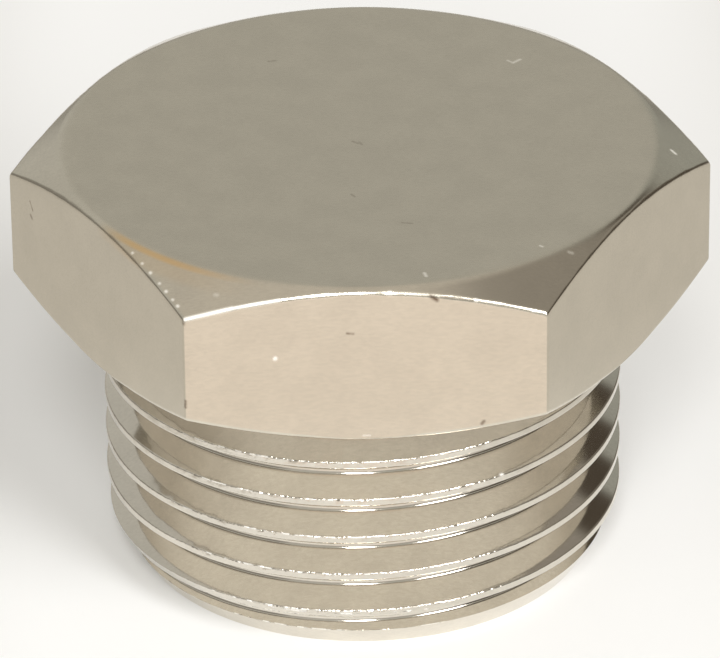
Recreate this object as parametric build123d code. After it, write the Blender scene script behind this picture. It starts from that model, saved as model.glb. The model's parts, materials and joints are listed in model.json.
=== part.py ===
from build123d import *
from math import radians, sqrt, tan
import os

# Pipe plug for a 3/8 inch parallel pipe thread, turned in one piece from hexagon bar.
# Millimetres. The plug stands on its threaded end: the end face is centred on the origin,
# the axis runs up +Z, and two flats of the hexagon face -Y and +Y.

# Hexagon head
ACROSS_FLATS = 19.0
HEAD_HEIGHT = 5.2
TOP_CHAMFER_ANGLE = 29.0  # slope of the corner chamfer against the top face
TOP_FACE_INSET = 0.2  # the round top face ends this far inside the flats
SEAT_CHAMFER_ANGLE = 27.0  # slope of the corner chamfer against the sealing face
SEAT_INSET = 0.05  # the round sealing face under the head ends this far inside the flats

# Threaded shank
SHANK_LENGTH = 8.6  # from the end face to the sealing face
THREAD_DIAMETER = 16.4  # over the flat crests
THREAD_PITCH = 1.337  # 19 turns to the inch
THREAD_ANGLE = 55.0  # between the two flanks
THREAD_START = -153.0  # where the crest runs out into the end face, from +X towards +Y
LEAD_DEPTH = 0.9  # the lead chamfer ends this far inside the crests
LEAD_ANGLE = 30.0  # slope of the lead chamfer against the axis
LAND_WIDTH = 0.5  # plain land between the thread and the sealing face
LAND_CLEARANCE = 0.05  # the land stands this far proud of the crests

# Spare stock left outside the finished outline, for the chamfers to be turned from
SPARE_STOCK = 0.5

# Thread form: a sharp V whose height is cut down by a sixth at the crest and at the root
flank_slope = tan(radians(THREAD_ANGLE / 2))
sharp_height = THREAD_PITCH / (2 * flank_slope)
truncation = sharp_height / 6
crest_radius = THREAD_DIAMETER / 2
root_radius = crest_radius - sharp_height + 2 * truncation
groove_tip_radius = root_radius - truncation

# Heights of the faces square to the axis
land_height = SHANK_LENGTH - LAND_WIDTH
seat_height = SHANK_LENGTH
top_height = SHANK_LENGTH + HEAD_HEIGHT


def turned(*points: tuple[float, float]) -> Part:
    """A round solid from its half section, given as radius and height, about the Z axis."""
    section = make_face(Polyline(*points, close=True))
    return revolve(Plane.XZ * section, axis=Axis.Z)


def round_bar(radius: float, low: float, high: float) -> Part:
    """A plain length of round bar about the Z axis."""
    return turned((0, low), (radius, low), (radius, high), (0, high))


def hexagon_head() -> Part:
    """A length of hexagon bar with its corners chamfered off round the top and the sealing face."""
    bar = RegularPolygon(ACROSS_FLATS / 2, 6, major_radius=False)
    prism = extrude(Pos(0, 0, seat_height) * bar, HEAD_HEIGHT)

    top_radius = ACROSS_FLATS / 2 - TOP_FACE_INSET
    seat_radius = ACROSS_FLATS / 2 - SEAT_INSET
    outer_radius = ACROSS_FLATS / sqrt(3) + SPARE_STOCK
    top_drop = (outer_radius - top_radius) * tan(radians(TOP_CHAMFER_ANGLE))
    seat_rise = (outer_radius - seat_radius) * tan(radians(SEAT_CHAMFER_ANGLE))
    chamfers = turned(
        (0, seat_height),
        (seat_radius, seat_height),
        (outer_radius, seat_height + seat_rise),
        (outer_radius, top_height - top_drop),
        (top_radius, top_height),
        (0, top_height),
    )
    return prism & chamfers


def thread_ridge(low: float, high: float) -> Solid:
    """The right-hand ridge of the thread, its foot sunk into the core, wound from one height to another."""
    foot_radius = (root_radius + groove_tip_radius) / 2
    crest_half = THREAD_PITCH / 2 - (crest_radius - groove_tip_radius) * flank_slope
    foot_half = THREAD_PITCH / 2 - (foot_radius - groove_tip_radius) * flank_slope
    profile = Polyline(
        (foot_radius, -foot_half),
        (crest_radius, -crest_half),
        (crest_radius, crest_half),
        (foot_radius, foot_half),
        close=True,
    )
    path = Helix(THREAD_PITCH, high - low, root_radius)
    ridge = sweep(Plane.XZ * make_face(profile), path=path, is_frenet=True)
    start = THREAD_START + 360 * low / THREAD_PITCH
    return Pos(0, 0, low) * Rot(0, 0, start) * ridge.solid()


def threaded_end() -> Part:
    """The thread on its core, made over length, then faced to its land and chamfered at its end."""
    low = -THREAD_PITCH
    high = land_height + THREAD_PITCH
    core = round_bar(root_radius, low - THREAD_PITCH, high + THREAD_PITCH)
    screw = core + thread_ridge(low, high)

    outer_radius = crest_radius + SPARE_STOCK
    lead_height = (LEAD_DEPTH + SPARE_STOCK) / tan(radians(LEAD_ANGLE))
    outline = turned(
        (0, 0),
        (crest_radius - LEAD_DEPTH, 0),
        (outer_radius, lead_height),
        (outer_radius, land_height),
        (0, land_height),
    )
    return outline & screw


land = round_bar(crest_radius + LAND_CLEARANCE, land_height, seat_height)
hex_plug = hexagon_head() + land + threaded_end()

os.makedirs("parts", exist_ok=True)
export_step(hex_plug, "parts/hex_plug.step")
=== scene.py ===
"""Looks of a hexagon-head pipe plug in nickel-plated brass: the dressed plug, its stage, lights and camera.

The plug's own frame is used throughout: the end face is centred on the origin, +Z is up and two flats
face -Y and +Y. The mesh is worked in millimetres and scaled to metres at the end.
"""

from __future__ import annotations

import json
import logging
import math
from dataclasses import dataclass
from enum import Enum

import bmesh
import bpy
from mathutils import Matrix, Vector, noise

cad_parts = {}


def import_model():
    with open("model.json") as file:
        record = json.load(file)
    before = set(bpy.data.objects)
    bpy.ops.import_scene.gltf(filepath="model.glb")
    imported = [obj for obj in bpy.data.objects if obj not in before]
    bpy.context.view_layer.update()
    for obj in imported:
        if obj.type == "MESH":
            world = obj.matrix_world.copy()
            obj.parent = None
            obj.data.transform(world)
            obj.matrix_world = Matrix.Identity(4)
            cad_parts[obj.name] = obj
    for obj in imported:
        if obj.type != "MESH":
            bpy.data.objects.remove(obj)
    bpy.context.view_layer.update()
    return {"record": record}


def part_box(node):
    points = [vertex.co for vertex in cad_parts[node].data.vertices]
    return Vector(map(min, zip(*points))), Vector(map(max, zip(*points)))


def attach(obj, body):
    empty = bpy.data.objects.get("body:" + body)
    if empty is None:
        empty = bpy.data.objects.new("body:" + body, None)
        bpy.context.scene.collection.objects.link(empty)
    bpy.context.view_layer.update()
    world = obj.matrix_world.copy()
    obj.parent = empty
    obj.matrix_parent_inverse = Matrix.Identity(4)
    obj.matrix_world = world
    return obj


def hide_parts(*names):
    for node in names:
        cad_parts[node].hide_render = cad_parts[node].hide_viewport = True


NODE = "hex_plug"
BODY = "root"
MM = 0.001
FULL_TURN = 2 * math.pi
SHARP_ANGLE = math.radians(38)
MERGE_DISTANCE = 1e-4
LEVEL_GAP = 10 * MERGE_DISTANCE  # how far off a plane a vertex still counts as on it
SEAM_GAP = 0.002
EDGE_WEAR = 1.0
HEX_SIDES = 6
HALF_SIDE = math.pi / HEX_SIDES  # half the angle that one flat takes up
TANGENT_SHARE = 0.42  # share of the shorter side that an arc may take up
SUPPORT_SHARE = 0.1  # share of that reach that its support point may take up
CAP_SHARES = (0.96, 0.5)  # radii of the rings on an end face, each as a share of the last
MARK_SOFTNESS = 1.2  # where a mark has faded out, in half widths

Colour = tuple[float, float, float, float]
Point = tuple[float, float, float]
Pair = tuple[float, float]
Socket = bpy.types.NodeSocket

log = logging.getLogger("pipe_plug")


class Layer(str, Enum):
    """Vertex layers that carry the plug's wear to the material and the head's columns to its rings."""

    WEAR = "wear"
    COLUMN = "column"


class Side(Enum):
    """Which side of a cutting plane is thrown away."""

    NONE = 0
    ABOVE = 1
    BELOW = 2


@dataclass(frozen=True)
class Round:
    """The rounding of one corner of an outline.

    Attributes:
        radius: Radius in millimetres, cut down where the corner's two sides are too short.
        chords: How many chords make the arc.
    """

    radius: float
    chords: int = 3


@dataclass(frozen=True)
class Burr:
    """A ragged edge that the tool left, in millimetres.

    Attributes:
        height: Height of the beads.
        length: Length of a bead along the edge.
        seed: Place in the noise that the beads are taken from.
        fine_rate: How many times finer the small beads are.
        fine_share: Height of the small beads, as a share of the large ones.
        layers: Planes of the noise that the large and the small beads lie in.
    """

    height: float
    length: float
    seed: float
    fine_rate: float = 2.7
    fine_share: float = 0.6
    layers: Pair = (0.5, 7.5)

    def rise(self, along: float) -> float:
        """Measures the burr at one place.

        Args:
            along: Distance along the edge.

        Returns:
            How far the edge stands out there, or a negative depth.
        """
        step = along / self.length
        large, small = self.layers
        coarse = noise.noise(Vector((step, self.seed, large)))
        fine = noise.noise(Vector((self.fine_rate * step, self.seed, small)))
        return self.height * (coarse + self.fine_share * fine)


def filleted(corners: list[Vector], rounds: list[Round], rim: float) -> list[Vector]:
    """Rounds the inner corners of an open outline.

    Args:
        corners: The outline's corners, as 2-D points.
        rounds: The rounding of each inner corner.
        rim: Distance of the support point beside each end of an arc.

    Returns:
        The points of the rounded outline, with both ends unchanged.
    """
    points = [corners[0]]
    for before, corner, after, wanted in zip(corners, corners[1:], corners[2:], rounds):
        inward, outward = corner - before, after - corner
        reach = TANGENT_SHARE * min(inward.length, outward.length)
        inward, outward = inward.normalized(), outward.normalized()
        turn = inward.angle(outward)
        tangent = min(wanted.radius * math.tan(turn / 2), reach)
        radius = tangent / math.tan(turn / 2)
        side = (outward - inward * math.cos(turn)) / math.sin(turn)
        start = corner - inward * tangent
        margin = min(rim, SUPPORT_SHARE * reach)
        points.append(start - inward * margin)
        for step in range(wanted.chords + 1):
            angle = turn * step / wanted.chords
            points.append(start + (inward * math.sin(angle) + side * (1 - math.cos(angle))) * radius)
        points.append(corner + outward * (tangent + margin))
    points.append(corners[-1])
    return points


def polar(radius: float, angle: float, height: float) -> Vector:
    """The point at a radius, an angle and a height about the Z axis."""
    return Vector((radius * math.cos(angle), radius * math.sin(angle), height))


def heading(azimuth: float, elevation: float) -> Vector:
    """Works out a direction away from the plug.

    Args:
        azimuth: Angle from the front towards +X, in degrees.
        elevation: Angle above the floor, in degrees.

    Returns:
        The direction, one unit long.
    """
    turn, lift = math.radians(azimuth), math.radians(elevation)
    return Vector((math.sin(turn) * math.cos(lift), -math.cos(turn) * math.cos(lift), math.sin(lift)))


def cut(mesh: bmesh.types.BMesh, point: Vector, normal: Vector, side: Side) -> None:
    """Cuts a mesh along a plane.

    Args:
        mesh: The mesh to cut.
        point: A point of the plane.
        normal: The plane's normal, which points to the side called above.
        side: The side to throw away.
    """
    bmesh.ops.bisect_plane(
        mesh,
        geom=[*mesh.verts, *mesh.edges, *mesh.faces],
        dist=MERGE_DISTANCE,
        plane_co=point,
        plane_no=normal,
        clear_outer=side is Side.ABOVE,
        clear_inner=side is Side.BELOW,
    )


def extrude_ring(mesh: bmesh.types.BMesh, ring: list[bmesh.types.BMEdge]) -> list[bmesh.types.BMVert]:
    """Extrudes a ring of edges in place.

    Args:
        mesh: The mesh that holds the ring.
        ring: The ring's edges, replaced in the list by those of the new ring.

    Returns:
        The vertices of the new ring, still to be moved.
    """
    made = bmesh.ops.extrude_edge_only(mesh, edges=ring)["geom"]
    verts = [item for item in made if isinstance(item, bmesh.types.BMVert)]
    new = set(verts)
    ring[:] = {edge for vert in verts for edge in vert.link_edges if edge.other_vert(vert) in new}
    return verts


def close_ring(mesh: bmesh.types.BMesh, ring: list[bmesh.types.BMEdge], height: float) -> None:
    """Closes a flat ring with a face that runs in to the axis.

    Args:
        mesh: The mesh that holds the ring.
        ring: The ring's edges.
        height: The height of the face.
    """
    for share in CAP_SHARES:
        for vert in extrude_ring(mesh, ring):
            vert.co = Vector((vert.co.x * share, vert.co.y * share, height))
    pole = extrude_ring(mesh, ring)
    bmesh.ops.pointmerge(mesh, verts=pole, merge_co=Vector((0, 0, height)))


@dataclass
class Thread:
    """The right-hand pipe thread, its lead chamfer and the land under the head, in millimetres.

    Attributes:
        crest_radius: Outside radius over the flat crests.
        land_height: Height at which the thread ends at its land.
        seat_height: Height of the sealing face.
        pitch: Distance from crest to crest.
        flank_angle: Angle of a flank against the radius.
        start: Angle at which the crest runs out into the end face.
        lead_depth: How far inside the crests the lead chamfer ends.
        lead_angle: Slope of the lead chamfer against the axis.
        land_clearance: How far the land stands proud of the crests.
        land_round: Radius of the land's edge and of its corner under the head.
        crest_round: Radius left on the edges of the crests.
        lead_width: Half the width of the ragged edge of the lead chamfer.
        columns: Number of steps round one turn.
        root_chords: Number of chords round the bottom of a groove.
        spare_turns: Turns by which the unrolled thread begins below the end face.
        thread_rim: Distance of the support points beside the rounds of the thread.
        land_rim: Distance of the support points beside the rounds of the land.
        burr: The ragged upper edge of the crests.
        burr_side: Angle at which the crests are most ragged.
        burr_peak: Power that narrows the ragged stretch.
        calm: Raggedness that is left all round, as a share.
        burr_reach: Depth that the wear of a crest edge takes up, as a share of its round.
        burr_lift: Rise of a bead along the axis, as a share of its height.
        lead_burr: Height of the beads on the lead edge, as a share of those on the crests.
        lower_wear: Wear of the lower edge of a crest, as a share of that of the upper.
    """

    crest_radius: float
    land_height: float
    seat_height: float
    pitch: float = 1.337
    flank_angle: float = math.radians(27.5)
    start: float = math.radians(-153)
    lead_depth: float = 0.9
    lead_angle: float = math.radians(30)
    land_clearance: float = 0.05
    land_round: float = 0.06
    crest_round: float = 0.065
    lead_width: float = 0.05
    columns: int = 480
    root_chords: int = 5
    spare_turns: int = 2
    thread_rim: float = 0.04
    land_rim: float = 0.02
    burr: Burr = Burr(height=0.02, length=0.24, seed=1.7)
    burr_side: float = math.radians(-106)
    burr_peak: int = 4
    calm: float = 0.1
    burr_reach: float = 0.6
    burr_lift: float = 0.3
    lead_burr: float = 0.5
    lower_wear: float = 0.4

    @property
    def sharp_height(self) -> float:
        """Height of the full V that the thread is cut from."""
        return self.pitch / (2 * math.tan(self.flank_angle))

    @property
    def tip_radius(self) -> float:
        """Radius of the sharp bottom of the V, a sixth of its height being cut off the crest."""
        return self.crest_radius - self.sharp_height * 5 / 6

    @property
    def root_round(self) -> float:
        """Radius of the round that fills the lowest sixth of the V."""
        sine = math.sin(self.flank_angle)
        return self.sharp_height / 6 * sine / (1 - sine)

    @property
    def half_crest(self) -> float:
        """Half the width of the flat crest."""
        return self.pitch / 2 - (self.crest_radius - self.tip_radius) * math.tan(self.flank_angle)

    @property
    def end_radius(self) -> float:
        """Radius of the end face, inside the lead chamfer."""
        return self.crest_radius - self.lead_depth

    @property
    def land_radius(self) -> float:
        """Radius of the land under the head."""
        return self.crest_radius + self.land_clearance

    def along(self, height: float) -> float:
        """Distance along the crest from the end face to a height."""
        return self.crest_radius * FULL_TURN * height / self.pitch

    def ragged(self, angle: float) -> float:
        """How ragged the edges are at an angle, as a share."""
        return self.calm + (1 - self.calm) * max(0, math.cos(angle - self.burr_side)) ** self.burr_peak

    def profile(self) -> list[Vector]:
        """The thread's outline along the axis at angle zero, longer at both ends than the thread.

        Returns:
            Points of radius and height, from below the end face to above the land.
        """
        half_groove = self.pitch / 2 - self.half_crest
        first = self.pitch * (0.5 - self.start / FULL_TURN)
        first -= self.pitch * math.ceil(first / self.pitch + self.spare_turns)
        corners, rounds = [], []
        for turn in range(math.ceil((self.land_height - first) / self.pitch) + 1):
            groove = first + turn * self.pitch
            corners.append(Vector((self.tip_radius, groove)))
            corners.append(Vector((self.crest_radius, groove + half_groove)))
            corners.append(Vector((self.crest_radius, groove + self.pitch - half_groove)))
            rounds.append(Round(self.root_round, self.root_chords))
            rounds += 2 * [Round(self.crest_round)]
        return filleted(corners, rounds[1:-1], self.thread_rim)

    def sheet(self, mesh: bmesh.types.BMesh) -> None:
        """Makes the thread unrolled: X is the angle, Y the radius and Z the height.

        Args:
            mesh: The empty mesh that gets the sheet.
        """
        verts = [mesh.verts.new((0, point.x, point.y)) for point in self.profile()]
        edges = [mesh.edges.new(pair) for pair in zip(verts, verts[1:])]
        step = Vector((FULL_TURN / self.columns, 0, self.pitch / self.columns))
        bmesh.ops.spin(
            mesh,
            geom=[*verts, *edges],
            cent=(0, 0, 0),
            axis=(0, 0, 1),
            dvec=step,
            angle=0,
            steps=self.columns,
        )

    def roughen(self, mesh: bmesh.types.BMesh) -> None:
        """Raises the ragged beads that the tool left along the upper edge of each crest.

        Args:
            mesh: The unrolled thread.
        """
        wear = mesh.verts.layers.float[Layer.WEAR.value]
        for vert in mesh.verts:
            crest = self.pitch * (vert.co.x - self.start) / FULL_TURN
            above = (vert.co.z - crest + self.pitch / 2) % self.pitch - self.pitch / 2
            outer = 1 - (self.crest_radius - vert.co.y) / (self.burr_reach * self.crest_round)
            near = 1 - abs(abs(above) - self.half_crest) / self.crest_round
            vert[wear] = max(0, outer) * max(0, near) * self.ragged(vert.co.x)
            if above > 0:
                rise = vert[wear] * self.burr.rise(self.along(vert.co.z))
                vert.co.y += rise
                vert.co.z += self.burr_lift * rise
            else:
                vert[wear] *= self.lower_wear

    def chamfer(self, mesh: bmesh.types.BMesh) -> None:
        """Turns the lead chamfer on the unrolled thread, leaves its edge ragged and trims both ends.

        Args:
            mesh: The unrolled thread.
        """
        wear = mesh.verts.layers.float[Layer.WEAR.value]
        slope = math.tan(self.lead_angle)
        normal = Vector((0, 1, -slope)).normalized()
        for beside in (-self.lead_width, 0, self.lead_width):
            cut(mesh, Vector((0, self.end_radius, 0)) + normal * beside, normal, Side.NONE)
        for vert in mesh.verts:
            excess = vert.co.y - self.end_radius - vert.co.z * slope
            if abs(excess) < LEVEL_GAP and vert.co.z > 0:
                vert[wear] = EDGE_WEAR * self.ragged(vert.co.x)
                vert.co.y += self.lead_burr * vert[wear] * self.burr.rise(self.along(vert.co.z))
            elif excess > 0:
                vert[wear] = 0.0
                vert.co.y -= excess
        cut(mesh, Vector((0, 0, 0)), Vector((0, 0, 1)), Side.BELOW)
        cut(mesh, Vector((0, 0, self.land_height)), Vector((0, 0, 1)), Side.ABOVE)

    def wrap(self, mesh: bmesh.types.BMesh) -> None:
        """Rolls the sheet up round the axis and closes its seam.

        Args:
            mesh: The unrolled thread.
        """
        seam = [vert for vert in mesh.verts if min(abs(vert.co.x), abs(vert.co.x - FULL_TURN)) < SEAM_GAP]
        for vert in mesh.verts:
            vert.co = polar(vert.co.y, vert.co.x, vert.co.z)
        bmesh.ops.remove_doubles(mesh, verts=seam, dist=SEAM_GAP)

    def ring_at(self, mesh: bmesh.types.BMesh, height: float) -> list[bmesh.types.BMEdge]:
        """The open edges of the thread at a height.

        Args:
            mesh: The rolled thread.
            height: The height of the ring.

        Returns:
            The ring's edges.
        """
        return [
            edge
            for edge in mesh.edges
            if edge.is_boundary and all(abs(vert.co.z - height) < LEVEL_GAP for vert in edge.verts)
        ]

    def build(self, mesh: bmesh.types.BMesh) -> list[bmesh.types.BMEdge]:
        """Models the threaded shank up to the sealing face.

        Args:
            mesh: The empty mesh that gets the shank.

        Returns:
            The open ring of edges on the sealing face.
        """
        self.sheet(mesh)
        self.roughen(mesh)
        self.chamfer(mesh)
        self.wrap(mesh)
        close_ring(mesh, self.ring_at(mesh, 0), 0)
        ring = self.ring_at(mesh, self.land_height)
        land = [
            Vector((self.crest_radius, self.land_height)),
            Vector((self.land_radius, self.land_height)),
            Vector((self.land_radius, self.seat_height)),
            Vector((self.land_radius + 2 * self.land_round, self.seat_height)),
        ]
        for point in filleted(land, 2 * [Round(self.land_round)], self.land_rim):
            for vert in extrude_ring(mesh, ring):
                vert.co = polar(point.x, math.atan2(vert.co.y, vert.co.x), point.y)
        return ring


@dataclass
class HexHead:
    """The hexagon head with its chamfered corners and worn edges, in millimetres.

    Attributes:
        across_flats: Width across flats.
        seat_height: Height of the sealing face under the head.
        top_height: Height of the round top face.
        inner_radius: Radius at which the sealing face begins.
        top_slope: Slope of the chamfer round the top face.
        top_inset: How far inside the flats the top face ends.
        seat_slope: Slope of the chamfer round the sealing face.
        seat_inset: How far inside the flats the sealing face ends.
        corner_round: Radius on the upright edges between two flats.
        seat_round: Radius round the sealing face.
        lower_round: Radius between the flats and the lower chamfer.
        upper_round: Radius between the flats and the upper chamfer.
        rim_round: Radius round the top face.
        side_steps: Number of steps along one flat.
        corner_chords: Number of chords round an upright edge.
        rim: Distance of the support points beside the rounds.
        wear: The knocks along the upper edge of the flats.
        knock: Direction of a knock, out from the axis and up.
    """

    across_flats: float
    seat_height: float
    top_height: float
    inner_radius: float
    top_slope: float = math.tan(math.radians(29))
    top_inset: float = 0.2
    seat_slope: float = math.tan(math.radians(27))
    seat_inset: float = 0.05
    corner_round: float = 0.07
    seat_round: float = 0.06
    lower_round: float = 0.16
    upper_round: float = 0.2
    rim_round: float = 0.8
    side_steps: int = 100
    corner_chords: int = 4
    rim: float = 0.05
    wear: Burr = Burr(height=0.02, length=0.45, seed=4.2)
    knock: Pair = (0.6, 0.8)

    def outline(self, mesh: bmesh.types.BMesh) -> list[bmesh.types.BMEdge]:
        """Lays out the hexagon bar's outline with its corners just broken.

        Args:
            mesh: The mesh that gets the outline.

        Returns:
            The outline's edges.
        """
        made = bmesh.ops.create_circle(
            mesh,
            cap_ends=True,
            segments=HEX_SIDES,
            radius=self.across_flats / math.sqrt(3),
            matrix=Matrix.Rotation(HALF_SIDE, 4, "Z"),
        )["verts"]
        bmesh.ops.bevel(
            mesh,
            geom=made,
            offset=self.corner_round * math.tan(HALF_SIDE),
            offset_type="OFFSET",
            affect="VERTICES",
            segments=self.corner_chords,
            profile=0.5,
            material=-1,
        )
        face = max(mesh.faces, key=lambda face: len(face.verts))
        sides = [edge for edge in face.edges if edge.calc_length() > self.across_flats / 4]
        bmesh.ops.subdivide_edges(mesh, edges=sides, cuts=self.side_steps - 1)
        ring = list(face.edges)
        bmesh.ops.delete(mesh, geom=[face], context="FACES_ONLY")
        return ring

    def section(self, reach: float, along: float) -> list[Vector]:
        """The head's outline in a plane through the axis.

        Args:
            reach: Distance from the axis to the side of the hexagon in that plane.
            along: Distance round the hexagon, which places the wear of its upper edge.

        Returns:
            Points of radius and height, from the sealing face to the top face.
        """
        seat_radius = self.across_flats / 2 - self.seat_inset
        top_radius = self.across_flats / 2 - self.top_inset
        edge = Vector((reach, self.top_height - (reach - top_radius) * self.top_slope))
        corners = [
            Vector((self.inner_radius, self.seat_height)),
            Vector((seat_radius, self.seat_height)),
            Vector((reach, self.seat_height + (reach - seat_radius) * self.seat_slope)),
            edge,
            Vector((top_radius, self.top_height)),
            Vector((top_radius / 2, self.top_height)),
        ]
        radii = (self.seat_round, self.lower_round, self.upper_round, self.rim_round)
        points = filleted(corners, [Round(radius) for radius in radii], self.rim)
        knock = Vector(self.knock) * self.wear.rise(along)
        for point in points:
            point += knock * max(0, 1 - 2 * (point - edge).length / self.upper_round)
        return points

    def build(self, mesh: bmesh.types.BMesh) -> list[bmesh.types.BMEdge]:
        """Models the head from its sealing face to its closed top.

        Args:
            mesh: The mesh that gets the head.

        Returns:
            The open ring of edges on the sealing face.
        """
        ring = self.outline(mesh)
        column = mesh.verts.layers.int[Layer.COLUMN.value]
        outline = list({vert for edge in ring for vert in edge.verts})
        sections = []
        for number, vert in enumerate(outline):
            vert[column] = number
            angle = math.atan2(vert.co.y, vert.co.x)
            sections.append((angle, self.section(vert.co.xy.length, angle * self.across_flats / 2)))
        first = list(ring)
        for vert in outline:
            angle, points = sections[vert[column]]
            vert.co = polar(points[0].x, angle, points[0].y)
        for level in range(1, len(sections[0][1])):
            for vert in extrude_ring(mesh, ring):
                angle, points = sections[vert[column]]
                vert.co = polar(points[level].x, angle, points[level].y)
        close_ring(mesh, ring, self.top_height)
        return first


class Graph:
    """A node tree with short ways to add and join nodes."""

    def __init__(self, tree: bpy.types.NodeTree) -> None:
        """Takes over a node tree."""
        self.nodes = tree.nodes
        self.links = tree.links

    def feed(self, socket: Socket, value: object) -> None:
        """Joins a socket to an output, or sets it.

        Args:
            socket: The input socket.
            value: An output socket, or a plain value.
        """
        if isinstance(value, Socket):
            self.links.new(value, socket)
        else:
            socket.default_value = value

    def place(self) -> Socket:
        """The place on the object, in millimetres."""
        coordinates = self.nodes.new("ShaderNodeTexCoord").outputs["Object"]
        return self.vector("SCALE", coordinates, scale=1 / MM)

    def vector(self, operation: str, *values: object, scale: object = 1.0) -> Socket:
        """Adds a vector operation.

        Args:
            operation: Name of the operation.
            values: Its vector inputs.
            scale: Its factor, where it has one.

        Returns:
            The output that the operation fills.
        """
        node = self.nodes.new("ShaderNodeVectorMath")
        node.operation = operation
        for socket, value in zip(node.inputs, values):
            self.feed(socket, value)
        if operation == "SCALE":
            self.feed(node.inputs["Scale"], scale)
        return node.outputs["Value" if operation in ("LENGTH", "DOT_PRODUCT") else "Vector"]

    def math(self, operation: str, *values: object) -> Socket:
        """Adds a number operation.

        Args:
            operation: Name of the operation.
            values: Its inputs.

        Returns:
            The operation's output.
        """
        node = self.nodes.new("ShaderNodeMath")
        node.operation = operation
        for socket, value in zip(node.inputs, values):
            self.feed(socket, value)
        return node.outputs["Value"]

    def span(self, value: object, low: float, high: float, start: float = 0.0, end: float = 1.0) -> Socket:
        """Eases a value from one range into another.

        Args:
            value: The value.
            low: Where the input range begins.
            high: Where it ends.
            start: The result at its beginning.
            end: The result at its end.

        Returns:
            The eased value.
        """
        node = self.nodes.new("ShaderNodeMapRange")
        node.interpolation_type = "SMOOTHSTEP"
        names = ("Value", "From Min", "From Max", "To Min", "To Max")
        for name, number in zip(names, (value, low, high, start, end)):
            self.feed(node.inputs[name], number)
        return node.outputs["Result"]

    def noise(self, place: Socket, scale: float, detail: float = 3.0) -> Socket:
        """Adds a noise pattern.

        Args:
            place: The coordinates.
            scale: Number of features in one unit.
            detail: Number of finer layers.

        Returns:
            The pattern, from 0 to 1.
        """
        node = self.nodes.new("ShaderNodeTexNoise")
        self.feed(node.inputs["Vector"], place)
        node.inputs["Scale"].default_value = scale
        node.inputs["Detail"].default_value = detail
        return node.outputs["Fac"]

    def blend(self, share: object, first: object, second: object) -> Socket:
        """Blends two colours.

        Args:
            share: Share of the second colour.
            first: The first colour.
            second: The second colour.

        Returns:
            The blended colour.
        """
        node = self.nodes.new("ShaderNodeMix")
        node.data_type = "RGBA"
        for name, value in zip(("Factor", "A", "B"), (share, first, second)):
            self.feed(node.inputs[name], value)
        return node.outputs["Result"]

    def split(self, vector: Socket) -> tuple[Socket, ...]:
        """The three parts of a vector."""
        node = self.nodes.new("ShaderNodeSeparateXYZ")
        self.links.new(vector, node.inputs["Vector"])
        return tuple(node.outputs)


@dataclass(frozen=True)
class Mark:
    """A short scratch or pit in the plating, in millimetres.

    Attributes:
        start: One end of the mark.
        end: Its other end.
        width: Half its width.
        strength: How fully it shows.
    """

    start: Point
    end: Point
    width: float
    strength: float = 0.8

    def mask(self, graph: Graph, place: Socket) -> Socket:
        """Builds the mark's mask.

        Args:
            graph: The material's node tree.
            place: The place on the plug, in millimetres.

        Returns:
            One on the mark and zero away from it.
        """
        run = Vector(self.end) - Vector(self.start)
        from_start = graph.vector("SUBTRACT", place, self.start)
        share = graph.vector("DOT_PRODUCT", from_start, run / run.length_squared)
        share = graph.math("MINIMUM", graph.math("MAXIMUM", share, 0.0), 1.0)
        nearest = graph.vector("SCALE", run, scale=share)
        gap = graph.vector("LENGTH", graph.vector("SUBTRACT", from_start, nearest))
        return graph.span(gap, 0.0, MARK_SOFTNESS * self.width, self.strength, 0.0)


# Dark scratches and pits on the top face, the front flat, its edges and the flat at the front left
DARK_MARKS = (
    Mark((-0.22, 0.02, 13.8), (-0.05, -0.12, 13.8), 0.07, 0.35),
    Mark((-0.02, -0.02, 13.8), (0.06, -0.2, 13.8), 0.06, 0.35),
    Mark((-0.32, -3.45, 13.8), (-0.22, -3.6, 13.8), 0.06, 0.35),
    Mark((1.2, -5.32, 13.8), (1.5, -5.38, 13.8), 0.06, 0.35),
    Mark((-2.8, 5.55, 13.8), (-2.6, 5.6, 13.8), 0.09, 0.35),
    Mark((-0.56, -9.5, 12.32), (-0.38, -9.5, 12.3), 0.06),
    Mark((3.5, -9.5, 9.1), (3.56, -9.5, 9.18), 0.08),
    Mark((1.95, -9.5, 13.57), (2.15, -9.5, 13.42), 0.1, 1.0),
    Mark((2.3, -9.48, 13.53), (3.25, -9.48, 13.39), 0.07, 0.7),
    Mark((-5.485, -9.5, 12.85), (-5.485, -9.5, 12.74), 0.09),
    Mark((-5.485, -9.5, 10.05), (-5.485, -9.5, 9.85), 0.08),
    Mark((-10.3, -1.16, 12.5), (-10.22, -1.3, 12.25), 0.05),
    Mark((-10.29, -1.18, 12.0), (-10.25, -1.22, 11.95), 0.09),
)

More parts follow.
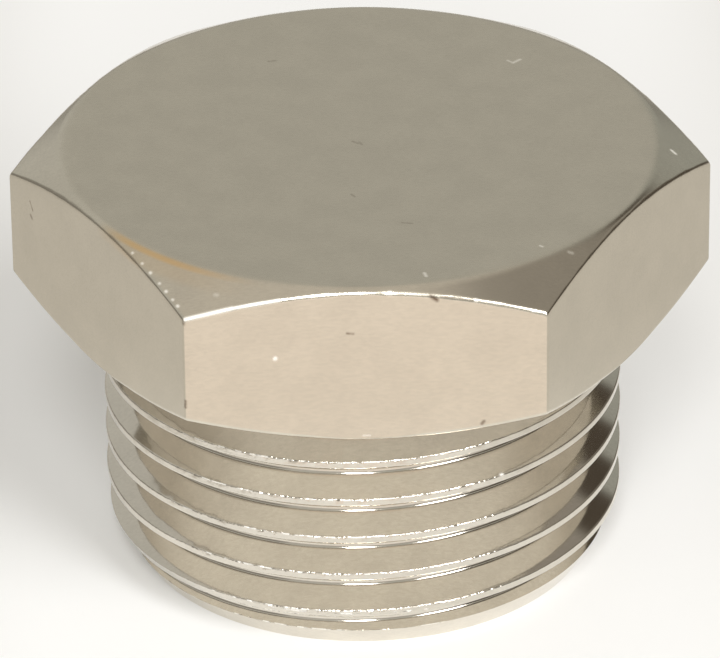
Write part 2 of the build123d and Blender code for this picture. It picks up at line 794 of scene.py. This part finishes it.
# Light scratches and dots on the front flat, the top face, the chamfers and one crest, and on the front
# flat's upper edge a painted highlight along its left half and painted glints further on
SCRATCHES_AND_GLINTS = (
    Mark((-2.74, -9.5, 11.48), (-2.73, -9.5, 11.5), 0.1),
    Mark((4.8, 5.35, 13.8), (4.97, 5.18, 13.8), 0.06, 0.3),
    Mark((4.97, 5.18, 13.8), (5.2, 5.4, 13.8), 0.08, 0.35),
    Mark((1.8, -8.5, 13.8), (1.85, -8.7, 13.8), 0.08, 0.4),
    Mark((5.35, -6.92, 13.8), (5.42, -6.98, 13.8), 0.06, 0.4),
    Mark((6.2, -7.15, 13.66), (6.3, -7.15, 13.63), 0.09, 0.3),
    Mark((9.72, -0.5, 13.57), (9.82, -0.58, 13.51), 0.1, 0.7),
    Mark((0.1, -9.46, 8.75), (-0.1, -9.46, 8.75), 0.06),
    # Painted highlight: a bright line along the left half of the front flat's upper edge
    Mark((-5.42, -9.48, 12.89), (-4.0, -9.48, 13.24), 0.1, 1.0),
    Mark((-4.0, -9.48, 13.24), (-2.6, -9.48, 13.49), 0.08, 1.0),
    # Painted glints: light dots along the rest of that edge
    Mark((0.72, -9.46, 13.67), (0.76, -9.46, 13.67), 0.1),
    Mark((3.31, -9.46, 13.38), (3.35, -9.46, 13.37), 0.08),
    Mark((5.02, -9.48, 12.99), (5.16, -9.48, 12.96), 0.06),
    Mark((-4.5, -8.93, 13.41), (-4.45, -8.95, 13.41), 0.1, 0.2),
    Mark((4.17, -7.06, 5.84), (4.21, -7.03, 5.84), 0.1),
)


@dataclass(frozen=True)
class EdgeGlints:
    """Painted glints: light dots along the upper edge of the flat at the front left, in millimetres.

    Attributes:
        small: Distances of the small dots from the middle of the flat.
        large: Distances of the large dots.
        small_look: Half width of a small dot, and how fully it shows.
        large_look: The same of a large dot.
        inset: How far inside the flat the dots lie.
        run: Length of a dot.
        side: Angle that the flat faces.
    """

    small: tuple[float, ...] = (2.2, 2.8, 3.85, 4.65)
    large: tuple[float, ...] = (3.3, 4.25, 4.95)
    small_look: Pair = (0.07, 0.5)
    large_look: Pair = (0.08, 0.6)
    inset: float = 0.12
    run: float = 0.03
    side: float = math.radians(-150)

    def marks(self, head: HexHead) -> tuple[Mark, ...]:
        """Places the dots on the chamfer just inside the flat.

        Args:
            head: The head that carries them.

        Returns:
            One mark a dot.
        """
        top_radius = head.across_flats / 2 - head.top_inset
        outward, along = polar(1, self.side, 0), polar(1, self.side + math.pi / 2, 0)
        dots = []
        for distances, look in ((self.small, self.small_look), (self.large, self.large_look)):
            for distance in distances:
                start = outward * (head.across_flats / 2 - self.inset) + along * distance
                start.z = head.top_height - (start.xy.length - top_radius) * head.top_slope
                dots.append(Mark(tuple(start), tuple(start + along * self.run), *look))
        return tuple(dots)


@dataclass(frozen=True)
class Pattern:
    """A noise pattern eased into a range.

    Attributes:
        scale: Features to the millimetre.
        fade: Noise values between which the pattern changes.
        result: Its results at both ends.
        stretch: How many times finer the pattern is along each axis.
        detail: Number of finer layers.
    """

    scale: float
    fade: Pair
    result: Pair
    stretch: Point = (1.0, 1.0, 1.0)
    detail: float = 3.0

    def build(self, graph: Graph, place: Socket) -> Socket:
        """The eased pattern at a place on the plug, in millimetres."""
        pattern = graph.noise(graph.vector("MULTIPLY", place, self.stretch), self.scale, self.detail)
        return graph.span(pattern, *self.fade, *self.result)


@dataclass(frozen=True)
class RubbedRim:
    """The stretch of the top rim where the plating is rubbed through to the brass.

    Attributes:
        begin: Angles between which the rub sets in, in degrees.
        end: Angles between which it fades out, in degrees.
        radius: Radius of the bare band, in millimetres.
        fade: Distances from that radius between which the band fades out.
        haze_radius: Radius of a faint haze outside the band.
        haze_fade: Distances from that radius between which the haze fades out.
        haze: Strength of the haze.
        depth: Depths below the top between which the rub sets in.
        strength: How fully the brass shows.
    """

    begin: Pair = (-150.0, -138.0)
    end: Pair = (-130.0, -108.0)
    radius: float = 9.42
    fade: Pair = (0.02, 0.18)
    haze_radius: float = 9.65
    haze_fade: Pair = (0.1, 0.5)
    haze: float = 0.25
    depth: Pair = (0.5, 0.3)
    strength: float = 0.65

    def mask(self, graph: Graph, place: Socket, top_height: float) -> Socket:
        """Builds the mask of the rub.

        Args:
            graph: The material's node tree.
            place: The place on the plug, in millimetres.
            top_height: Height of the top face.

        Returns:
            The share of brass that shows.
        """
        across, deep, height = graph.split(place)
        angle = graph.math("ARCTAN2", deep, across)
        squares = (graph.math("POWER", part, 2.0) for part in (across, deep))
        radius = graph.math("SQRT", graph.math("ADD", *squares))
        off_band = graph.math("ABSOLUTE", graph.math("SUBTRACT", radius, self.radius))
        off_haze = graph.math("ABSOLUTE", graph.math("SUBTRACT", radius, self.haze_radius))
        mask = graph.math(
            "MAXIMUM",
            graph.span(off_band, *self.fade, 1.0, 0.0),
            graph.span(off_haze, *self.haze_fade, self.haze, 0.0),
        )
        begin = graph.span(angle, *map(math.radians, self.begin))
        end = graph.span(angle, *map(math.radians, self.end), 1.0, 0.0)
        high = graph.span(height, *(top_height - depth for depth in self.depth))
        for factor in (begin, end, high, self.strength):
            mask = graph.math("MULTIPLY", mask, factor)
        return mask


@dataclass(frozen=True)
class NickelPlate:
    """Satin nickel plating over turned brass, brighter on the thread than on the head.

    Heights and depths are in millimetres.

    Attributes:
        thread_top: Height that divides the thread from the head.
        top_height: Height of the top face.
        scratches_and_glints: The light scratches and dots, with a painted highlight and painted glints
            among them.
        rub: Where the plating is rubbed through.
        colour: Colour of the plating on the head.
        thread_colour: Colour of the plating in the thread.
        brass: Colour of the brass that shows where the plating is rubbed through.
        pit: Colour of dark scratches and pits.
        scuff_and_glint: Colour of light scratches, and of painted highlights and glints.
        top_roughness: Roughness of the top face.
        flat_roughness: Roughness of the flats.
        thread_roughness: Roughness of the thread.
        edge_roughness: Roughness of worn edges.
        mark_roughness: Roughness of light scratches, and of painted highlights and glints.
        rough_swing: How the grain swings the roughness, as factors.
        corner_shade: Share of its brightness that the plating keeps under the painted shade in the corner
            under the head.
        corner_shade_depth: Depths below the head between which the painted shade darkens the plating.
        shade_stop: Heights about the sealing face between which the painted shade ends.
        head_fade: Heights about the sealing face between which the head's finish sets in.
        top_depth: Depths below the top face between which its finish sets in.
        edge_raggedness: Depth of the fine beads on worn edges.
        edge_scale: Number of those beads to the millimetre.
        beads: How fully painted glints show as light dots along the beads of worn edges.
        glint_wear: Wear between which the painted glints set in.
        breaks: How fully the dark scratches show.
        clouds: Brightness of faint clouds, as a factor.
        grain: Brightness of the fine grain, as a factor.
    """

    thread_top: float
    top_height: float
    scratches_and_glints: tuple[Mark, ...]
    rub: RubbedRim = RubbedRim()
    colour: Colour = (0.72, 0.67, 0.57, 1.0)
    thread_colour: Colour = (0.745, 0.7, 0.62, 1.0)
    brass: Colour = (0.88, 0.56, 0.22, 1.0)
    pit: Colour = (0.2, 0.15, 0.11, 1.0)
    scuff_and_glint: Colour = (0.95, 0.93, 0.88, 1.0)
    top_roughness: float = 0.26
    flat_roughness: float = 0.2
    thread_roughness: float = 0.1
    edge_roughness: float = 0.3
    mark_roughness: float = 0.45
    rough_swing: Pair = (1.1, 0.9)
    corner_shade: float = 0.85
    corner_shade_depth: Pair = (1.5, 0.6)
    shade_stop: Pair = (-0.02, 0.08)
    head_fade: Pair = (-0.05, 0.05)
    top_depth: Pair = (0.05, 0.02)
    edge_raggedness: float = 0.25
    edge_scale: float = 4.0
    beads: Pattern = Pattern(2.6, fade=(0.5, 0.6), result=(0.0, 0.75), detail=1.0)
    glint_wear: Pair = (0.3, 0.5)
    breaks: Pattern = Pattern(7.0, fade=(0.3, 0.6), result=(0.5, 1.0))
    clouds: Pattern = Pattern(0.8, fade=(0.3, 0.7), result=(0.95, 1.0))
    grain: Pattern = Pattern(5.0, fade=(0.25, 0.75), result=(0.96, 1.03), stretch=(1.0, 3.0, 3.0))

    def marks(self, graph: Graph, place: Socket, marks: tuple[Mark, ...]) -> Socket:
        """Joins the masks of several marks.

        Args:
            graph: The material's node tree.
            place: The place on the plug, in millimetres.
            marks: The marks.

        Returns:
            One on any of the marks.
        """
        total = marks[0].mask(graph, place)
        for mark in marks[1:]:
            total = graph.math("MAXIMUM", total, mark.mask(graph, place))
        return total

    def pits(self, graph: Graph, place: Socket) -> Socket:
        """The share of the dark scratches' colour that shows at a place."""
        return graph.math("MULTIPLY", self.marks(graph, place, DARK_MARKS), self.breaks.build(graph, place))

    def spots(self, graph: Graph, place: Socket, wear: Socket) -> Socket:
        """The share of the colour of light scratches and painted highlights, and of painted glints on worn
        edges, that shows at a place.
        """
        # Painted glints: light dots along worn edges
        beads = graph.math("MULTIPLY", self.beads.build(graph, place), graph.span(wear, *self.glint_wear))
        return graph.math("MAXIMUM", self.marks(graph, place, self.scratches_and_glints), beads)

    def about_seat(self, graph: Graph, height: Socket, fade: Pair) -> Socket:
        """Zero below a range of heights about the sealing face and one above it."""
        return graph.span(height, *(self.thread_top + offset for offset in fade))

    def tone(self, graph: Graph, place: Socket, grain: Socket) -> Socket:
        """Builds the brightness of the plating: clouds, grain and painted shade in the corner under the
        head.

        Args:
            graph: The material's node tree.
            place: The place on the plug, in millimetres.
            grain: The fine grain.

        Returns:
            The brightness, as a factor.
        """
        height = graph.split(place)[2]
        clouds = self.clouds.build(graph, place)
        # Painted shade: the plating is darkened in the corner under the head
        deep = (self.thread_top - depth for depth in self.corner_shade_depth)
        corner = graph.span(height, *deep, 1.0, self.corner_shade)
        unshaded = graph.math("MAXIMUM", corner, self.about_seat(graph, height, self.shade_stop))
        return graph.math("MULTIPLY", graph.math("MULTIPLY", clouds, grain), unshaded)

    def material(self) -> bpy.types.Material:
        """Builds the plating's node material.

        Returns:
            The finished material.
        """
        material = bpy.data.materials.new("nickel_plate")
        material.use_nodes = True
        graph = Graph(material.node_tree)
        shader = graph.nodes["Principled BSDF"]
        place = graph.place()
        height = graph.split(place)[2]
        attribute = graph.nodes.new("ShaderNodeAttribute")
        attribute.attribute_name = Layer.WEAR.value
        wear = attribute.outputs["Fac"]
        # Light scratches with painted highlights and glints: pale, matt and less metallic
        light = self.spots(graph, place, wear)
        graph.feed(shader.inputs["Metallic"], graph.math("SUBTRACT", 1.0, light))

        grain = self.grain.build(graph, place)
        on_head = self.about_seat(graph, height, self.head_fade)
        plate = graph.blend(on_head, self.thread_colour, self.colour)
        plate = graph.vector("SCALE", plate, scale=self.tone(graph, place, grain))
        plate = graph.blend(self.rub.mask(graph, place, self.top_height), plate, self.brass)
        plate = graph.blend(self.pits(graph, place), plate, self.pit)
        plate = graph.blend(light, plate, self.scuff_and_glint)
        graph.feed(shader.inputs["Base Color"], plate)

        rough = graph.span(on_head, 0.0, 1.0, self.thread_roughness, self.flat_roughness)
        top = graph.span(height, *(self.top_height - depth for depth in self.top_depth))
        top = graph.math("MULTIPLY", top, self.top_roughness - self.flat_roughness)
        swing = graph.span(grain, *self.grain.result, *self.rough_swing)
        rough = graph.math("MULTIPLY", graph.math("ADD", rough, top), swing)
        rough = graph.math("MAXIMUM", rough, graph.math("MULTIPLY", wear, self.edge_roughness))
        rough = graph.math("MAXIMUM", rough, graph.math("MULTIPLY", light, self.mark_roughness))
        graph.feed(shader.inputs["Roughness"], rough)

        ragged = graph.nodes.new("ShaderNodeBump")
        ragged.inputs["Distance"].default_value = self.edge_raggedness * MM
        graph.feed(ragged.inputs["Strength"], wear)
        graph.feed(ragged.inputs["Height"], graph.noise(place, self.edge_scale, detail=2.0))
        graph.feed(shader.inputs["Normal"], ragged.outputs["Normal"])
        return material


@dataclass
class PipePlug:
    """The whole plug: its thread and head as one closed mesh.

    Attributes:
        thread: The threaded shank.
        head: The hexagon head.
    """

    thread: Thread
    head: HexHead

    @classmethod
    def from_frame(cls, record: dict) -> PipePlug:
        """Takes the plug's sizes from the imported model.

        Args:
            record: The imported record, which holds the mounts.

        Returns:
            The plug at the model's size.
        """
        low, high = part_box(NODE)
        mounts = {mount["name"]: mount for mount in record["mounts"]}
        screw = mounts["pipe_thread"]["dims"]
        seat = mounts["sealing_face"]["pos_m"][2] / MM
        thread = Thread(crest_radius=screw["r_mm"], land_height=screw["length_mm"], seat_height=seat)
        head = HexHead(
            across_flats=(high.y - low.y) / MM,
            seat_height=seat,
            top_height=high.z / MM,
            inner_radius=thread.land_radius + 3 * thread.land_round,
        )
        return cls(thread, head)

    def build(self) -> bpy.types.Object:
        """Models the plug and puts it in the scene.

        Returns:
            The plug's object, on its body and in its node's place.
        """
        mesh = bmesh.new()
        mesh.verts.layers.float.new(Layer.WEAR.value)
        mesh.verts.layers.int.new(Layer.COLUMN.value)
        under = self.thread.build(mesh)
        over = self.head.build(mesh)
        bmesh.ops.bridge_loops(mesh, edges=[*under, *over])
        bmesh.ops.remove_doubles(mesh, verts=mesh.verts, dist=MERGE_DISTANCE)
        bmesh.ops.recalc_face_normals(mesh, faces=mesh.faces)
        for face in mesh.faces:
            face.smooth = True
        for edge in mesh.edges:
            edge.smooth = edge.calc_face_angle(0) < SHARP_ANGLE
        bmesh.ops.scale(mesh, vec=(MM, MM, MM), verts=mesh.verts)
        open_edges = sum(1 for edge in mesh.edges if not edge.is_manifold)
        triangles = sum(len(face.verts) - 2 for face in mesh.faces)
        log.info("plug mesh: %d triangles, %d open edges", triangles, open_edges)
        mesh.verts.layers.int.remove(mesh.verts.layers.int[Layer.COLUMN.value])
        data = bpy.data.meshes.new("plug_nickel")
        mesh.to_mesh(data)
        mesh.free()
        plug = bpy.data.objects.new("plug_nickel", data)
        bpy.context.scene.collection.objects.link(plug)
        shading = plug.modifiers.new("flat_shading", "WEIGHTED_NORMAL")
        shading.mode = "FACE_AREA"
        shading.keep_sharp = True
        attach(plug, BODY)
        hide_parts(NODE)
        return plug

    def dress(self, plug: bpy.types.Object) -> None:
        """Plates the plug.

        Args:
            plug: The plug's object.
        """
        plate = NickelPlate(
            thread_top=self.head.seat_height,
            top_height=self.head.top_height,
            # Light scratches, with painted highlights and glints, and the painted glints along the front
            # left flat's edge
            scratches_and_glints=SCRATCHES_AND_GLINTS + EdgeGlints().marks(self.head),
        )
        plug.data.materials.append(plate.material())


@dataclass
class Stage:
    """A pale sheet under the plug, with painted shade towards its sides.

    Attributes:
        size: Half the sheet's side, in metres.
        near: Colour round the plug.
        front: Colour further to the front.
        beside: Darker colour further to the sides, painted shade where the light would fall off.
        front_fade: Depths between which the sheet turns to the front's colour, in millimetres.
        side_shade_fade: Distances from the middle between which the painted shade sets in.
        roughness: Roughness of the sheet.
    """

    size: float = 1.5
    near: Colour = (0.94, 0.945, 0.95, 1.0)
    front: Colour = (0.89, 0.82, 0.775, 1.0)
    beside: Colour = (0.615, 0.595, 0.565, 1.0)
    front_fade: Pair = (-14.0, -26.0)
    side_shade_fade: Pair = (9.0, 24.0)
    roughness: float = 0.9

    def build(self) -> bpy.types.Object:
        """Lays the sheet.

        Returns:
            The sheet's object.
        """
        mesh = bmesh.new()
        bmesh.ops.create_grid(mesh, x_segments=1, y_segments=1, size=self.size)
        data = bpy.data.meshes.new("floor")
        mesh.to_mesh(data)
        mesh.free()
        floor = bpy.data.objects.new("floor", data)
        bpy.context.scene.collection.objects.link(floor)
        data.materials.append(self.material())
        return floor

    def material(self) -> bpy.types.Material:
        """Builds the sheet's material, which is pale round the plug and darkens softly further out, with
        painted shade to the sides.

        Returns:
            The finished material.
        """
        material = bpy.data.materials.new("floor_sheet")
        material.use_nodes = True
        graph = Graph(material.node_tree)
        shader = graph.nodes["Principled BSDF"]
        shader.inputs["Roughness"].default_value = self.roughness
        shader.inputs["Specular IOR Level"].default_value = 0.0
        across, deep, _ = graph.split(graph.place())
        forward = graph.span(deep, *self.front_fade)
        # Painted shade: the sheet turns darker to the sides, in place of the light falling off there
        sideways = graph.span(graph.math("ABSOLUTE", across), *self.side_shade_fade)
        sheet = graph.blend(sideways, graph.blend(forward, self.near, self.front), self.beside)
        graph.feed(shader.inputs["Base Color"], sheet)
        return material


@dataclass(frozen=True)
class Lamp:
    """A soft rectangular lamp aimed at the plug.

    Attributes:
        name: The lamp's name.
        azimuth: Angle round the plug from the front towards +X, in degrees.
        elevation: Angle above the floor, in degrees.
        width: Width of the lamp, in metres.
        height: Height of the lamp, in metres.
        power: Power in watts.
        distance: Distance from the plug, in metres.
    """

    name: str
    azimuth: float
    elevation: float
    width: float
    height: float
    power: float
    distance: float = 0.6

    def build(self) -> bpy.types.Object:
        """Hangs the lamp.

        Returns:
            The lamp's object.
        """
        data = bpy.data.lights.new(self.name, "AREA")
        data.shape = "RECTANGLE"
        data.size = self.width
        data.size_y = self.height
        data.energy = self.power
        lamp = bpy.data.objects.new(self.name, data)
        away = heading(self.azimuth, self.elevation)
        lamp.location = away * self.distance
        lamp.rotation_euler = away.to_track_quat("Z", "Y").to_euler()
        lamp.visible_camera = False
        bpy.context.scene.collection.objects.link(lamp)
        return lamp


@dataclass
class Surroundings:
    """The room round the stage: pale above, darker low down and to the right.

    Attributes:
        ceiling: Colour overhead.
        wall: Colour half way up.
        skirting: Colour at the horizon.
        bright: Colour of the light side of the room.
        shade: Colour of the dark side of the room.
        back: Colour of the dark side far behind.
        dark: Colour of the unlit opening on the dark side.
        doorway: Direction of that opening.
        doorway_edge: Cosines between which the opening sets in.
        bright_side: Where the light side sets in, across the room.
        overhead: Heights between which the ceiling sets in.
        shade_side: Where the dark side sets in, across the room.
        shade_depth: Where the dark side sets in, from front to back.
        back_depth: Where the far dark side sets in, from front to back.
        corner_side: Where the unlit corners set in, away from the middle.
        corner_height: Heights between which the unlit corners set in.
        corner_middle: Where the light side's corner gives way to the other, across the room.
        corner_share: How dark the light side's corner is, as a share of the other.
        low: Heights between which the skirting ends.
        low_depth: Where the skirting sets in, from front to back.
    """

    ceiling: Colour = (0.62, 0.58, 0.52, 1.0)
    wall: Colour = (0.475, 0.465, 0.425, 1.0)
    skirting: Colour = (0.16, 0.15, 0.13, 1.0)
    bright: Colour = (0.55, 0.54, 0.5, 1.0)
    shade: Colour = (0.31, 0.285, 0.25, 1.0)
    back: Colour = (0.375, 0.38, 0.346, 1.0)
    dark: Colour = (0.08, 0.065, 0.05, 1.0)
    doorway: Point = (0.509, 0.622, 0.595)
    doorway_edge: Pair = (0.984, 0.994)
    bright_side: Pair = (-0.1, -0.42)
    overhead: Pair = (0.7, 0.95)
    shade_side: Pair = (0.12, 0.36)
    shade_depth: Pair = (-0.35, 0.0)
    back_depth: Pair = (0.4, 0.8)
    corner_side: Pair = (0.54, 0.68)
    corner_height: Pair = (0.5, 0.3)
    corner_middle: Pair = (-0.1, 0.1)
    corner_share: float = 0.6
    low: Pair = (-0.04, 0.16)
    low_depth: Pair = (-0.7, -0.2)

    def build(self) -> None:
        """Sets the world's light."""
        world = bpy.data.worlds.new("studio")
        bpy.context.scene.world = world
        world.use_nodes = True
        graph = Graph(world.node_tree)
        generated = graph.nodes.new("ShaderNodeTexCoord").outputs["Generated"]
        across, deep, height = graph.split(generated)
        room = graph.blend(graph.span(across, *self.bright_side), self.wall, self.bright)
        room = graph.blend(graph.span(height, *self.overhead), room, self.ceiling)

        shade = graph.blend(graph.span(deep, *self.back_depth), self.shade, self.back)
        shaded = graph.math(
            "MULTIPLY", graph.span(across, *self.shade_side), graph.span(deep, *self.shade_depth)
        )
        room = graph.blend(shaded, room, shade)

        opening = graph.span(graph.vector("DOT_PRODUCT", generated, self.doorway), *self.doorway_edge)
        corner = graph.span(graph.math("ABSOLUTE", across), *self.corner_side)
        corner = graph.math("MULTIPLY", corner, graph.span(height, *self.corner_height))
        lighter = graph.span(across, *self.corner_middle, self.corner_share, 1.0)
        corner = graph.math("MULTIPLY", corner, lighter)
        room = graph.blend(graph.math("MAXIMUM", opening, corner), room, self.dark)

        low = graph.span(height, *self.low, 1.0, 0.0)
        low = graph.math("MULTIPLY", low, graph.span(deep, *self.low_depth))
        room = graph.blend(low, room, self.skirting)
        graph.feed(graph.nodes["Background"].inputs["Color"], room)


@dataclass
class PhotoCamera:
    """The camera at the photograph's angle.

    Attributes:
        aim: The point that the camera looks at, in metres.
        distance: Distance from that point, in metres.
        elevation: Angle above the floor, in degrees.
        azimuth: Angle round the plug from the front towards +X, in degrees.
        roll: Turn about the line of sight, in degrees.
        lens: Focal length in millimetres.
        sensor: Width of the sensor in millimetres.
        clip: Nearest and furthest distance that is drawn, in metres.
    """

    aim: Point = (-0.00006, 0.0, 0.00708)
    distance: float = 0.2153
    elevation: float = 29.55
    azimuth: float = -0.65
    roll: float = -0.645
    lens: float = 339.8
    sensor: float = 36.0
    clip: Pair = (0.01, 10.0)

    def build(self) -> bpy.types.Object:
        """Sets up the camera.

        Returns:
            The camera's object.
        """
        data = bpy.data.cameras.new("photo_camera")
        data.sensor_width = self.sensor
        data.lens = self.lens
        data.clip_start, data.clip_end = self.clip
        camera = bpy.data.objects.new("photo_camera", data)
        away = heading(self.azimuth, self.elevation)
        camera.location = Vector(self.aim) + away * self.distance
        facing = away.to_track_quat("Z", "Y").to_matrix().to_4x4()
        camera.rotation_euler = (facing @ Matrix.Rotation(math.radians(self.roll), 4, "Z")).to_euler()
        bpy.context.scene.collection.objects.link(camera)
        bpy.context.scene.camera = camera
        return camera


LAMPS = (
    Lamp("key_lamp", azimuth=-5.0, elevation=38, width=0.115, height=0.35, power=1.6),
    Lamp("side_lamp", azimuth=36.0, elevation=38, width=0.2, height=0.35, power=2.05),
)


def main() -> None:
    """Builds the plug, its stage, lights and camera, and notes the size of the result."""
    logging.basicConfig(level=logging.INFO, format="%(name)s: %(message)s")
    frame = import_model()
    bpy.context.scene.view_settings.view_transform = "Standard"
    plug = PipePlug.from_frame(frame["record"])
    piece = plug.build()
    plug.dress(piece)
    log.info("built %s", piece.name)
    log.info("laid %s", Stage().build().name)
    Surroundings().build()
    for lamp in LAMPS:
        log.info("hung %s", lamp.build().name)
    log.info("set %s", PhotoCamera().build().name)


if __name__ == "__main__":
    main()
